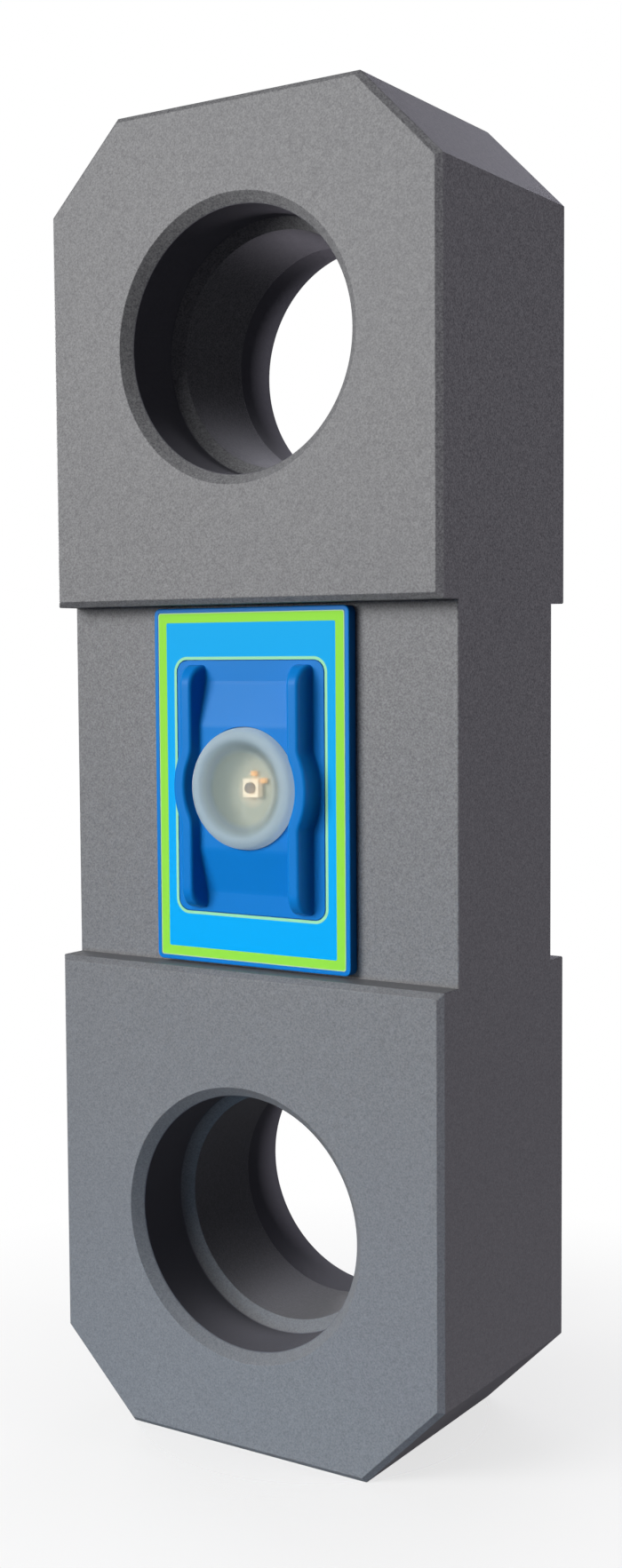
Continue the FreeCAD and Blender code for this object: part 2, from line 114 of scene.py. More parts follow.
# Guard ribs
RIB_X = 0.0279
RIB_BULGE_R = 0.0317
RIB_BLEND_R = 0.012
RIB_TOP_HALF = 0.0028
RIB_DRAFT = 0.25
RIB_ROOT = 0.004
RIB_TOP = 0.014
RIB_END = 0.0534
RIB_NOSE_R = RIB_TOP - HOUSING_FACE
RIB_NOSE_TURN = math.radians(87)
RIB_EDGE_R = 0.0013
RIB_CORNER_R = 0.0024
RIB_FILLET_R = 0.0006
RIB_FILLET_PARTS = 3
RIB_STEPS = 16
RIB_WALL_STEPS = 12

# Push button
BUTTON_R = 0.0263
BUTTON_GAP = 0.0004
BUTTON_RIM = 0.0136
BUTTON_RIM_R = 0.0035
BUTTON_SHOULDER_R = 0.0042
BUTTON_RIM_INNER = 0.0211
BUTTON_DISC_R = 0.0163
BUTTON_DISC_EDGE_R = 0.0042
BUTTON_DISC = 0.0105
BUTTON_UNDER = 0.0056
BUTTON_FLANGE_R = 0.0284
BUTTON_FLANGE_TOP = 0.0068
BUTTON_CENTRE_R = BUTTON_DISC_R / 8
BUTTON_SEGMENTS = 144
CHAMBER_R = 0.0292
CHAMBER_TOP = 0.0072
WELL_EDGE_R = 0.0004
WELL_FLARE = 0.00003

# Battery cover
COVER_HALF = (0.031, 0.046)
COVER_CORNER = 0.006
COVER_FACE = 0.005
COVER_WALL = 0.0026
COVER_EDGE_R = 0.0014
COVER_SCREW_Y = 0.0395

# Screws
HOUSING_SCREW_Y = 0.072
SCREW_R = 0.002
SCREW_HEAD_R = 0.00378
SCREW_SINK = 0.00005
SCREW_HOLE_R = 0.00225
TAPPED_DEPTH = 0.011

# Fineness of the meshes
ARC_STEPS = 4
CORNER_STEPS = 8
HOLE_SEGMENTS = 32
SHARP_ANGLE = math.radians(32)

# Print on the film, with a painted sheen towards the top and a painted highlight along the film's edge
FIELD_TOP_WITH_SHEEN = (0.010, 0.36, 0.74)
FIELD_LOW = (0.001, 0.36, 0.78)
BORDER_GREEN = (0.27, 0.66, 0.06)
BORDER_HALF = (0.0442, 0.0718)
BORDER_CORNER = 0.0008
LINE_GREEN = (0.30, 0.68, 0.40)
LINE_WIDTH = 0.0013
EDGE_HIGHLIGHT = (0.42, 0.62, 0.35)
EDGE_HIGHLIGHT_WIDTH = 0.0004
PRINT_SOFT = 0.00012
FILM_ROUGHNESS = 0.5
FILM_SPECULAR = 0.03
FILM_GRAIN = 0.0003
FILM_RELIEF = (0.00001, 0.3)

# Noise patterns
NOISE_TURN = (0.5, 0.7, 0.3)
NOISE_RANGE = (0.3, 0.7)

# Coat of the bar, with painted shade on the walls of the bores
COAT = (0.165, 0.166, 0.171)
COAT_DARK = (0.094, 0.094, 0.100)
COAT_PALE = (0.236, 0.239, 0.243)
COAT_CLOUD = (0.14, 0.143, 0.156)
COAT_BORE_SHADE = (0.093, 0.093, 0.110)
COAT_SPECULAR = 0.24
COAT_ROUGHNESS = (0.46, 0.62)
COAT_RELIEF = (0.00006, 0.5)
GRAIN = (0.0008, 3.0, 0.6)
GRAIN_SHARE = 0.8
GRAIN_FADE = (0.14, 0.40)
GRAIN_CALM = 0.46
MOTTLE = (0.0024, 2.0, 0.6)
TONE_RANGE = (0.36, 0.64)
CLOUD_SIZE = 0.06
CLOUD_SHARE = 0.12
BORE_SHADE_SHARE = 0.8
BORE_SHADE_BLEND = (0.0002, 0.0005)

# Plastic of the housing and the cover
PLASTIC = (0.004, 0.171, 0.525)
PLASTIC_DARK = (0.0035, 0.155, 0.468)
PLASTIC_SPECULAR = 0.07
PLASTIC_ROUGHNESS = (0.30, 0.42)
PLASTIC_RELIEF = (0.00002, 0.4)
PLASTIC_GRAIN = 0.0004
PLASTIC_CLOUD = 0.03
PLASTIC_CLOUD_RANGE = (0.35, 0.65)
PLASTIC_CLOUD_SHARE = 0.25

# Silicone of the cap, with painted shade darkening it round the dish's wall
SILICONE = (0.23, 0.27, 0.275)
SILICONE_DEPTH = 0.008
SILICONE_FORWARD = 0.7
SILICONE_SPECULAR = 0.15
SILICONE_SHEEN = 0.25
SHEEN_ROUGHNESS = 0.3
SILICONE_ROUGHNESS = (0.42, 0.55)
SILICONE_CLOUD = (0.004, 3.0)
SILICONE_GRAIN = 0.0004
SILICONE_RELIEF = (0.00001, 0.3)
WALL_SHADE_SILICONE = (0.140, 0.180, 0.190)
WALL_R = 0.0187
WALL_REACH = 0.0038
MIDDLE_FROST = 0.36
RIM_FROST = 0.92
FROST_FROM = 0.0150
FROST_TO = 0.0215

# Light painted on the cap through its emission: more on faces turned away from the main light, with painted
# halos
LIT_SIDE = (0.98, 0.0, 0.18)
LIT_TILT = 0.5
RIM_PAINTED_LIGHT = ((0.05, 0.085, 0.13), (0.22, 0.30, 0.38))
WALL_PAINTED_LIGHT = ((0.02, 0.04, 0.05), (0.29, 0.35, 0.38))
DISC_PAINTED_LIGHT = (0.24, 0.29, 0.26)
DISC_BLEND = (0.0150, 0.0175)
GLOW_AT = (0.0048, -0.0010)
GLOW_R = 0.0076
WARM_GLOW_PAINTED = (1.0, 0.70, 0.44)
GLOW_SHARE = 0.8
AMBER_AT = (0.0072, 0.0046)
AMBER_R = 0.0034
AMBER_GLOW_PAINTED = (1.0, 0.52, 0.16)
AMBER_SHARE = 0.6
PAINTED_HALOS = [(GLOW_AT, GLOW_R, GLOW_SHARE, WARM_GLOW_PAINTED), (AMBER_AT, AMBER_R, AMBER_SHARE, AMBER_GLOW_PAINTED)]

# Status lights
LED = (0.45, 0.20, 0.04)
LED_ROUGHNESS = 0.3
LED_LIGHT = (1.0, 0.50, 0.14, 1)
LED_STRENGTH = 0.7
LED_GRAIN = 0.0004
LED_RELIEF = (0.00001, 0.3)

# Strain gauges
FOIL = (0.6, 0.35, 0.08)
FOIL_LINE = (0.5, 0.45, 0.38)
FOIL_ROUGHNESS = 0.35
FOIL_LINE_SCALE = 700.0
FOIL_LINE_RANGE = (0.55, 0.65)
FOIL_RELIEF = (0.00002, 0.4)

# Small pieces; the switch's emission is painted light
SMALL_GRAIN = 0.0005
SMALL_RELIEF = (0.00001, 0.4)
SHADOW_SHARE = 0.8
SWITCH_PAINTED_LIGHT = (1.0, 0.82, 0.55, 1)
SWITCH_PAINTED_LIGHT_STRENGTH = 0.3
SMALL_FINISHES = {
    "seal_rubber": dict(color=(0.02, 0.02, 0.02), roughness=0.6),
    "screw_steel": dict(color=(0.55, 0.55, 0.56), roughness=0.3, grain=0.0003, Metallic=1.0),
    # Painted light: the switch glows as if lit by the lights beside it, though it is no lamp.
    "switch_plastic": dict(color=(0.85, 0.75, 0.56), roughness=0.4, Emission_Color=SWITCH_PAINTED_LIGHT,
                           Emission_Strength=SWITCH_PAINTED_LIGHT_STRENGTH),
    "plunger_plastic": dict(color=(0.05, 0.085, 0.12), roughness=0.4),
    "board_laminate": dict(color=(0.50, 0.49, 0.35), roughness=0.45, grain=0.002),
    "chip_plastic": dict(color=(0.025, 0.025, 0.025), roughness=0.5),
    "shield_metal": dict(color=(0.65, 0.65, 0.64), roughness=0.35, grain=0.001, Metallic=1.0),
    "connector_plastic": dict(color=(0.82, 0.79, 0.70), roughness=0.5),
    "lead_red": dict(color=(0.45, 0.015, 0.012), roughness=0.45),
    "lead_black": dict(color=(0.02, 0.02, 0.02), roughness=0.45),
    "holder_plastic": dict(color=(0.03, 0.03, 0.03), roughness=0.5),
    "contact_metal": dict(color=(0.75, 0.74, 0.70), roughness=0.25, grain=0.001, Metallic=1.0),
    "cell_wrap": dict(color=(0.07, 0.07, 0.08), roughness=0.25, grain=0.004),
}

# Stage
FLOOR_RADIUS = 0.34
FLOOR_SEGMENTS = 96
FLOOR_CLEAR = 0.06
FLOOR_OPACITY = 0.3
FLOOR_COLOR = (0.86, 0.86, 0.86)
FLOOR_ROUGHNESS = 0.7
AMBIENT = 0.05
AMBIENT_COLOR = (0.95, 0.92, 1.13, 1)
WHITE = (1.0, 1.0, 1.0)
WIDE_BEAM = 180
LIGHTS = {
    "key": dict(at=(-1.15, -2.0, 0.78), aim=(2.2, 0, 0.70), size=(1.2, 0.8), power=24,
                color=(1.0, 0.99, 0.98), beam=102),
    "front": dict(at=(-0.85, -2.2, 1.35), aim=(0, 0, 0.30), size=(1.2, 1.0), power=36.8, color=WHITE),
    "low": dict(at=(-0.25, -1.5, 0.02), aim=(0, 0, -0.1), size=(0.6, 0.2), power=0.60,
                color=(0.46, 0.72, 1.0), beam=36),
    "side": dict(at=(2.1, 0.32, 0.38), aim=(0, 0, 0.30), size=(0.24, 1.0), power=17.5,
                 color=(1.0, 0.95, 1.03)),
    "rear": dict(at=(-1.9, 1.1, 0.40), aim=(0, 0, 0.29), size=(1.0, 1.0), power=26, color=WHITE),
    "rear_low": dict(at=(-0.85, 1.75, -0.16), aim=(0, 0, 0.44), size=(0.8, 0.5), power=3.7,
                     color=(1.0, 0.93, 1.10)),
    "rear_top": dict(at=(-0.5, 1.8, 1.30), aim=(0, 0, 0.29), size=(1.0, 1.0), power=8,
                     color=(0.96, 0.94, 1.08)),
}

# Camera, from a fit to the picture's corners and circles
CAMERA_AT = Vector((0.4658907, -0.7166220, MID_Z + 0.0571004))
CAMERA_AZIMUTH = math.radians(32.99915)
CAMERA_ELEVATION = math.radians(3.89643)
CAMERA_ROLL = math.radians(-0.37630)
CAMERA_LENS_MM = 43.2535
CAMERA_SENSOR_MM = 36

# Places of the front and rear faces of the measuring section
RIGHT_ANGLE = math.radians(90)
TO_FRONT = Matrix.Rotation(RIGHT_ANGLE, 4, "X")
ABOUT_FACE = Matrix.Rotation(2 * RIGHT_ANGLE, 4, "Z")
FRONT = Matrix.Translation((0, -MID_HALF, MID_Z)) @ TO_FRONT
REAR = Matrix.Translation((0, MID_HALF, MID_Z)) @ ABOUT_FACE @ TO_FRONT


# Outlines

def rounded(points, radii, steps=ARC_STEPS, closed=True):
    """Outline with arcs for its corners, of one radius or one each. The ends of an open line stay."""
    points = [Vector(p) for p in points]
    count = len(points)
    if not isinstance(radii, list):
        radii = [radii] * count
    line = []
    for i, (corner, radius) in enumerate(zip(points, radii)):
        if not closed and i in (0, count - 1):
            line.append(corner)
            continue
        to_last = (points[i - 1] - corner).normalized()
        to_next = (points[(i + 1) % count] - corner).normalized()
        half_angle = to_last.angle(to_next) / 2
        centre = corner + (to_last + to_next).normalized() * (radius / math.sin(half_angle))
        start = corner + to_last * (radius / math.tan(half_angle)) - centre
        end = corner + to_next * (radius / math.tan(half_angle)) - centre
        turn = start.angle_signed(end)
        for k in range(steps + 1):
            line.append(centre + Matrix.Rotation(-turn * k / steps, 2) @ start)
    return line


def inset_polygon(points, amount):
    """Convex outline, running anticlockwise, with each side moved inwards."""
    points = [Vector(p) for p in points]
    moved = []
    for i, corner in enumerate(points):
        back = (corner - points[i - 1]).normalized()
        ahead = (points[(i + 1) % len(points)] - corner).normalized()
        normal_back, normal_ahead = Vector((-back.y, back.x)), Vector((-ahead.y, ahead.x))
        moved.append(corner + (normal_back + normal_ahead) * (amount / (1 + normal_back.dot(normal_ahead))))
    return moved


def rectangle(half, corner, steps=CORNER_STEPS):
    """Rectangle about the origin, with rounded corners unless their radius is nothing."""
    x, y = half
    corners = [Vector((-x, -y)), Vector((x, -y)), Vector((x, y)), Vector((-x, y))]
    return rounded(corners, corner, steps) if corner else corners


def grown(half, amount):
    """Half sizes of a rectangle moved outwards."""
    return (half[0] + amount, half[1] + amount)


# Meshes

def add_object(name, mesh, place=Matrix.Identity(4)):
    """Object from a finished bmesh, with its faces turned outwards."""
    bmesh.ops.recalc_face_normals(mesh, faces=mesh.faces[:])
    data = bpy.data.meshes.new(name)
    mesh.to_mesh(data)
    mesh.free()
    data.transform(place)
    piece = bpy.data.objects.new(name, data)
    bpy.context.scene.collection.objects.link(piece)
    return piece


def loft(name, rings, place=Matrix.Identity(4)):
    """Closed skin through rings of equal length, with flat ends."""
    mesh = bmesh.new()
    loops = [[mesh.verts.new(p) for p in ring] for ring in rings]
    for low, high in zip(loops, loops[1:]):
        for i in range(len(low)):
            j = (i + 1) % len(low)
            mesh.faces.new((low[i], low[j], high[j], high[i]))
    mesh.faces.new(loops[0])
    mesh.faces.new(loops[-1])
    return add_object(name, mesh, place)


def turned(name, line, segments, place=Matrix.Identity(4)):
    """Turned form about z from points of radius and height."""
    angles = [2 * math.pi * i / segments for i in range(segments)]
    rings = [[Vector((r * math.cos(a), r * math.sin(a), h)) for a in angles] for r, h in line]
    return loft(name, rings, place)


def block(name, half, corner, low, high, place=Matrix.Identity(4)):
    """Upright block with a rectangular outline."""
    outline = rectangle(half, corner)
    return loft(name, [[Vector((p.x, p.y, h)) for p in outline] for h in (low, high)], place)


def soft_block(name, half, corner, high, edge, place):
    """Upright block from height 0 whose upper edge is rounded."""
    line = rounded([(0, 0), (0, high), (2 * edge, high)], edge, CORNER_STEPS, closed=False)[:-1]
    rings = []
    for inset, h in line:
        outline = rectangle(grown(half, -inset), corner - inset)
        rings.append([Vector((p.x, p.y, h)) for p in outline])
    return loft(name, rings, place)


def carve(piece, operation, tools):
    """Joins tools to a piece or cuts them from it, and removes them."""
    for tool in tools:
        step = piece.modifiers.new("carve", "BOOLEAN")
        step.operation = operation
        step.solver = "EXACT"
        step.object = tool
    graph = bpy.context.evaluated_depsgraph_get()
    piece.data = bpy.data.meshes.new_from_object(piece.evaluated_get(graph))
    piece.modifiers.clear()
    for tool in tools:
        bpy.data.objects.remove(tool)
    return piece


def shade(piece):
    """Smooth shading that keeps flat faces flat and hard corners hard."""
    piece.data.polygons.foreach_set("use_smooth", [True] * len(piece.data.polygons))
    piece.data.set_sharp_from_angle(angle=SHARP_ANGLE)
    weighted = piece.modifiers.new("weighted", "WEIGHTED_NORMAL")
    weighted.keep_sharp = True
    return piece


def stand_for(piece, node, body, slot, materials):
    """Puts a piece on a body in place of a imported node, with the finish of a slot."""
    piece.data.materials.clear()
    piece.data.materials.append(materials[slot])
    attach(piece, body)
    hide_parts(node)


# Steel bar

def end_outline(inset):
    """Outline of the upper end, with cut corners."""
    half, foot = WIDTH / 2, MID_Z + RECESS_HALF
    corners = [(-half, foot), (half, foot), (half, LENGTH - CORNER_CUT), (half - CORNER_CUT, LENGTH),
               (CORNER_CUT - half, LENGTH), (-half, LENGTH - CORNER_CUT)]
    return rounded(inset_polygon(corners, inset), BAR_EDGE_R)


def end_block(way):
    """Thick end with bevelled faces: the upper one, or its mirror image below."""
    bevel = [(0, 0), (0, END_HALF - FACE_BEVEL), (FACE_BEVEL, END_HALF), (3 * FACE_BEVEL, END_HALF)]
    front = rounded(bevel, BAR_EDGE_R, closed=False)[1:-1]
    levels = [(inset, -y) for inset, y in reversed(front)] + [(inset, y) for inset, y in front]
    rings = []
    for inset, y in levels:
        rings.append([Vector((p.x, y, MID_Z + way * (p.y - MID_Z))) for p in end_outline(inset)])
    return loft("end", rings)


def middle_block():
    """Thinner measuring section, run a little way into both ends."""
    outline = rectangle((WIDTH / 2, MID_HALF), BAR_EDGE_R, ARC_STEPS)
    reach = RECESS_HALF + UNION_OVERLAP
    return loft("middle", [[Vector((p.x, p.y, MID_Z + way * reach)) for p in outline] for way in (-1, 1)])


def eye_cutter(z):
    """Turned form of a stepped eye with softened edges, the same from front and rear."""
    half = [
        (EYE_MOUTH_R + EYE_FLARE[0], END_HALF + EYE_FLARE[1]),
        (EYE_MOUTH_R, END_HALF),
        (EYE_BORE_R, END_HALF - EYE_CHAMFER),
        (EYE_BORE_R, END_HALF - EYE_BORE_DEPTH),
        (EYE_LAND_R, END_HALF - EYE_BORE_DEPTH - EYE_STEP),
        (EYE_LAND_R, 0),
    ]
    line = rounded(half, BAR_EDGE_R, closed=False)[:-1]
    whole = [(r, h) for r, h in line] + [(r, -h) for r, h in reversed(line)]
    return turned("eye", whole, EYE_SEGMENTS, Matrix.Translation((0, 0, z)) @ TO_FRONT)


def pocket_cutters():
    """Pockets under the housing and the cover, the wire passage and the tapped holes."""
    tools = [
        block("pocket", POCKET_HALF, POCKET_CORNER, -POCKET_DEPTH, OVERCUT, FRONT),
        block("pocket", BATTERY_POCKET_HALF, POCKET_CORNER, -POCKET_DEPTH, OVERCUT, REAR),
        round_cutter(PASSAGE_R, -2 * MID_HALF + POCKET_DEPTH - OVERCUT, OVERCUT, (0, PASSAGE_Y), REAR),
    ]
    tools += [round_cutter(SCREW_R, -TAPPED_DEPTH, OVERCUT, at, FRONT) for at in housing_screws()]
    tools += [round_cutter(SCREW_R, -TAPPED_DEPTH, OVERCUT, at, REAR) for at in cover_screws()]
    return tools


def round_cutter(radius, low, high, at, place):
    """Plain round hole."""
    shift = Matrix.Translation((at[0], at[1], 0))
    return turned("hole", [(radius, low), (radius, high)], HOLE_SEGMENTS, place @ shift)


def housing_screws():
    """Places of the housing's screws."""
    return [(0, -HOUSING_SCREW_Y), (0, HOUSING_SCREW_Y)]


def cover_screws():
    """Places of the cover's screws."""
    return [(0, -COVER_SCREW_Y), (0, COVER_SCREW_Y)]


def link_body():
    """One-piece bar: two thick ends, thinner middle, stepped eyes and covered pockets."""
    bar = carve(end_block(1), "UNION", [middle_block(), end_block(-1)])
    bar.name = "bar"
    carve(bar, "DIFFERENCE", [eye_cutter(z) for z in EYES_Z] + pocket_cutters())
    return shade(bar)


# Front housing

def screw_cutter(face, at, place):
    """Clearance hole with a countersink."""
    top = face - SCREW_SINK
    sink = SCREW_HEAD_R - SCREW_HOLE_R
    shank = [(SCREW_HOLE_R, -OVERCUT), (SCREW_HOLE_R, top - sink)]
    head = [(SCREW_HEAD_R, top), (SCREW_HEAD_R, face + OVERCUT)]
    return turned("screw_hole", shank + head, HOLE_SEGMENTS, place @ Matrix.Translation((at[0], at[1], 0)))


def saddle():
    """Raised pad between the ribs, with a soft ramp at each end."""
    foot = HOUSING_FACE - SADDLE_SINK
    half = [(SADDLE_FOOT + SADDLE_BLEND_R / 2, foot), (SADDLE_FOOT, foot), (SADDLE_CREST, SADDLE_TOP)]
    top = half + [(-y, h) for y, h in reversed(half)]
    line = rounded(top, SADDLE_BLEND_R, CORNER_STEPS, closed=False)
    line += [Vector((line[-1].x, RIB_ROOT)), Vector((line[0].x, RIB_ROOT))]
    rings = [[Vector((side * SADDLE_HALF_WIDTH, p.x, p.y)) for p in line] for side in (-1, 1)]
    return loft("saddle", rings, FRONT)


def saddle_height(y):
    """Height of the pad's plain outline at a place along the bar."""
    share = (SADDLE_FOOT - abs(y)) / (SADDLE_FOOT - SADDLE_CREST)
    return HOUSING_FACE + (SADDLE_TOP - HOUSING_FACE) * min(max(share, 0), 1)


def rib_path():
    """Points along half a rib, from the middle of its bulge to its nose, each with the way outwards."""
    lean = math.acos((RIB_X + RIB_BLEND_R) / (RIB_BULGE_R + RIB_BLEND_R))
    blend = (RIB_BULGE_R + RIB_BLEND_R) * Vector((math.cos(lean), math.sin(lean)))
    straight = RIB_END - RIB_NOSE_R
    steps = [k / RIB_STEPS for k in range(RIB_STEPS)]
    path = []
    for share in steps:
        out = Vector((math.cos(lean * share), math.sin(lean * share)))
        path.append((RIB_BULGE_R * out, out))
    for share in steps:
        out = Vector((math.cos(lean * (1 - share)), math.sin(lean * (1 - share))))
        path.append((blend - RIB_BLEND_R * out, out))
    along = [blend.y + (straight - blend.y) * share for share in steps]
    along += [straight + RIB_NOSE_R * math.sin(RIB_NOSE_TURN * share) for share in steps + [1]]
    return path + [(Vector((RIB_X, y)), Vector((1, 0))) for y in along]


def rib_top(y):
    """Height of a rib's crest, falling in a quarter round at its nose."""
    over = max(abs(y) - RIB_END + RIB_NOSE_R, 0)
    return RIB_TOP - RIB_NOSE_R + math.sqrt(RIB_NOSE_R ** 2 - over ** 2)


def rib_half(y, h):
    """Half width of a rib at a height: drafted wall, rounded off towards the crest and the nose."""
    over = max(abs(y) - RIB_END + RIB_NOSE_R, 0)
    up = h - RIB_TOP + RIB_NOSE_R
    depth = RIB_NOSE_R - (math.hypot(over, up) if over else up)
    turn = math.atan2(over, max(up, 0)) / RIGHT_ANGLE
    edge = RIB_EDGE_R + (RIB_CORNER_R - RIB_EDGE_R) * turn
    short = edge - min(max(depth, 0), edge)
    return RIB_TOP_HALF + RIB_DRAFT * (RIB_TOP - h) - edge + math.sqrt(edge ** 2 - short ** 2)


def rib_section(y, base):
    """Half section at a place along a rib: root fillet, drafted wall and rounded crest."""
    top = rib_top(y)
    fillet = min(RIB_FILLET_R, (top - base) / RIB_FILLET_PARTS)
    foot = base - SADDLE_SINK
    line = [(rib_half(y, foot) + fillet, RIB_ROOT)]
    for k in range(ARC_STEPS + 1):
        angle = RIGHT_ANGLE * k / ARC_STEPS
        h = foot + fillet * (1 - math.cos(angle))
        line.append((rib_half(y, h) + fillet * (1 - math.sin(angle)), h))
    start = line[-1][1]
    for k in range(1, RIB_WALL_STEPS + 1):
        h = top - (top - start) * (1 - k / RIB_WALL_STEPS) ** 2
        line.append((rib_half(y, h), h))
    return line + [(0, top)]


def guard_rib(side):
    """Rib swept along its centre line, with a root fillet on the pad and on the plate."""
    half = rib_path()
    whole = [(Vector((at.x, -at.y)), Vector((out.x, -out.y))) for at, out in reversed(half[1:])] + half
    rings = []
    for at, out in whole:
        outer = rib_section(at.y, HOUSING_FACE)
        inner = rib_section(at.y, saddle_height(at.y))
        section = outer + [(-x, h) for x, h in reversed(inner[:-1])]
        points = [(at + out * x, h) for x, h in section]
        rings.append([Vector((side * p.x, p.y, h)) for p, h in points])
    return loft("rib", rings, FRONT)


def sensor_housing():
    """Moulded housing: soft-edged plate with film recess, pad, guard ribs and button well."""
    seat = HOUSING_FACE - FILM_RECESS
    shell = soft_block("housing", HOUSING_HALF, HOUSING_CORNER, HOUSING_FACE, HOUSING_EDGE_R, FRONT)
    recess = block("recess", grown(FILM_HALF, FILM_GAP), FILM_CORNER, seat, HOUSING_FACE + OVERCUT, FRONT)
    groove = block("groove", WINDOW_HALF, WINDOW_CORNER, seat - WINDOW_GROOVE, HOUSING_FACE, FRONT)
    island = block("island", grown(WINDOW_HALF, -WINDOW_GAP), WINDOW_CORNER - WINDOW_GAP, 0,
                   HOUSING_FACE + 2 * OVERCUT, FRONT)
    carve(shell, "DIFFERENCE", [carve(carve(recess, "UNION", [groove]), "DIFFERENCE", [island])])
    carve(shell, "UNION", [saddle(), guard_rib(-1), guard_rib(1)])
    well_r = BUTTON_R + BUTTON_GAP
    flare = (well_r + 3 * WELL_EDGE_R, SADDLE_TOP + WELL_FLARE)
    well = rounded([flare, (well_r, SADDLE_TOP), (well_r, SEAL_THICK)], WELL_EDGE_R, closed=False)
    tools = [
        block("seal_room", grown(POCKET_HALF, SEAL_WIDTH), 0, -OVERCUT, SEAL_THICK, FRONT),
        block("cavity", CAVITY_HALF, 0, SEAL_THICK - OVERCUT, CAVITY_ROOF, FRONT),
        turned("chamber", [(CHAMBER_R, SEAL_THICK), (CHAMBER_R, CHAMBER_TOP)], BUTTON_SEGMENTS, FRONT),
        turned("well", well, BUTTON_SEGMENTS, FRONT),
    ]
    tools += [screw_cutter(seat, at, FRONT) for at in housing_screws()]
    return shade(carve(shell, "DIFFERENCE", tools))


# Push button

def button_cap():
    """Soft cap with a full rim, a dished middle and a retaining flange."""
    outer = [(BUTTON_CENTRE_R, BUTTON_DISC), (BUTTON_DISC_R, BUTTON_DISC), (BUTTON_RIM_INNER, BUTTON_RIM),
             (BUTTON_R, BUTTON_RIM), (BUTTON_R, BUTTON_FLANGE_TOP)]
    radii = [0, BUTTON_DISC_EDGE_R, BUTTON_SHOULDER_R, BUTTON_RIM_R, 0]
    top = rounded(outer, radii, CORNER_STEPS, closed=False)
    flange = [(BUTTON_FLANGE_R, BUTTON_FLANGE_TOP), (BUTTON_FLANGE_R, BUTTON_UNDER),
              (BUTTON_CENTRE_R, BUTTON_UNDER)]
    return shade(turned("cap", [(r, h) for r, h in top] + flange, BUTTON_SEGMENTS, FRONT))


# Battery cover

def battery_cover():
    """Soft-edged cover over the battery pocket, hollow inside."""
    cover = soft_block("cover", COVER_HALF, COVER_CORNER, COVER_FACE, COVER_EDGE_R, REAR)
    roof = COVER_FACE - COVER_WALL
    tools = [
        block("hollow", grown(BATTERY_POCKET_HALF, -SEAL_WIDTH), 0, -OVERCUT, roof, REAR),
        block("seal_room", grown(BATTERY_POCKET_HALF, SEAL_WIDTH), 0, -OVERCUT, SEAL_THICK, REAR),
    ]
    tools += [screw_cutter(COVER_FACE, at, REAR) for at in cover_screws()]
    return shade(carve(cover, "DIFFERENCE", tools))


# Materials

def new_material(name, color, **values):
    """Node material whose shader has these values; the names are the sockets', with _ for spaces."""
    made = bpy.data.materials.new(name)
    made.use_nodes = True
    shader = made.node_tree.nodes["Principled BSDF"]
    shader.inputs["Base Color"].default_value = (*color, 1)
    for socket, value in values.items():
        shader.inputs[socket.replace("_", " ")].default_value = value
    return made, made.node_tree, shader


def feed(tree, socket, value):
    """Links a socket to an input, or sets the input to a value."""
    if isinstance(value, bpy.types.NodeSocket):
        tree.links.new(value, socket)
    else:
        socket.default_value = value


def add_node(tree, kind, **inputs):
    """Node of a kind, with its inputs fed by name, with _ for spaces, or by number, after a V."""
    node = tree.nodes.new(kind)
    for key, value in inputs.items():
        socket = node.inputs[int(key[1:])] if key[1:].isdigit() else node.inputs[key.replace("_", " ")]
        feed(tree, socket, value)
    return node


def position(tree):
    """Position on the piece at rest."""
    return tree.nodes.new("ShaderNodeTexCoord").outputs["Object"]


def coordinates(tree):
    """Position on the piece at rest, by axis."""
    return add_node(tree, "ShaderNodeSeparateXYZ", Vector=position(tree)).outputs


def noise(tree, size, detail=2.0, rough=0.5):
    """Noise whose features have about this size, turned so that no flat face lies along its lattice."""
    turn = add_node(tree, "ShaderNodeMapping", Vector=position(tree), Rotation=NOISE_TURN)
    node = add_node(tree, "ShaderNodeTexNoise", Vector=turn.outputs["Vector"], Scale=1 / size,
                    Detail=detail, Roughness=rough)
    return node.outputs["Fac"]


def spread(tree, value, low, high, to_low=0.0, to_high=1.0):
    """Value moved from one range to another, held at its ends."""
    node = add_node(tree, "ShaderNodeMapRange", Value=value, From_Min=low, From_Max=high,
                    To_Min=to_low, To_Max=to_high)
    return node.outputs["Result"]


def math_node(tree, operation, first, second=0.0):
    """One sum."""
    node = add_node(tree, "ShaderNodeMath", V0=first, V1=second)
    node.operation = operation
    return node.outputs["Value"]


def distance(tree, first, second):
    """Distance made up of two offsets at right angles."""
    squares = [math_node(tree, "MULTIPLY", v, v) for v in (first, second)]
    return math_node(tree, "SQRT", math_node(tree, "ADD", *squares))


def gap(tree, first, second):
    """Difference of two values, without its sign."""
    return math_node(tree, "ABSOLUTE", math_node(tree, "SUBTRACT", first, second))


def mix(tree, share, first, second):
    """Colour between two, each a socket or a colour."""
    node = tree.nodes.new("ShaderNodeMix")
    node.data_type = "RGBA"
    tree.links.new(share, node.inputs["Factor"])
    sockets = [s for s in node.inputs if s.type == "RGBA"]
    for socket, color in zip(sockets, (first, second)):
        feed(tree, socket, (*color, 1) if isinstance(color, tuple) else color)
    return next(s for s in node.outputs if s.type == "RGBA")


def bump(tree, shader, height, depth, strength):
    """Relief of the surface."""
    node = add_node(tree, "ShaderNodeBump", Height=height, Distance=depth, Strength=strength)
    tree.links.new(node.outputs["Normal"], shader.inputs["Normal"])


def eye_radius(tree):
    """Distance from the axis of the nearer eye."""
    parts = coordinates(tree)
    radii = [distance(tree, parts["X"], math_node(tree, "SUBTRACT", parts["Z"], z)) for z in EYES_Z]
    return math_node(tree, "MINIMUM", *radii)


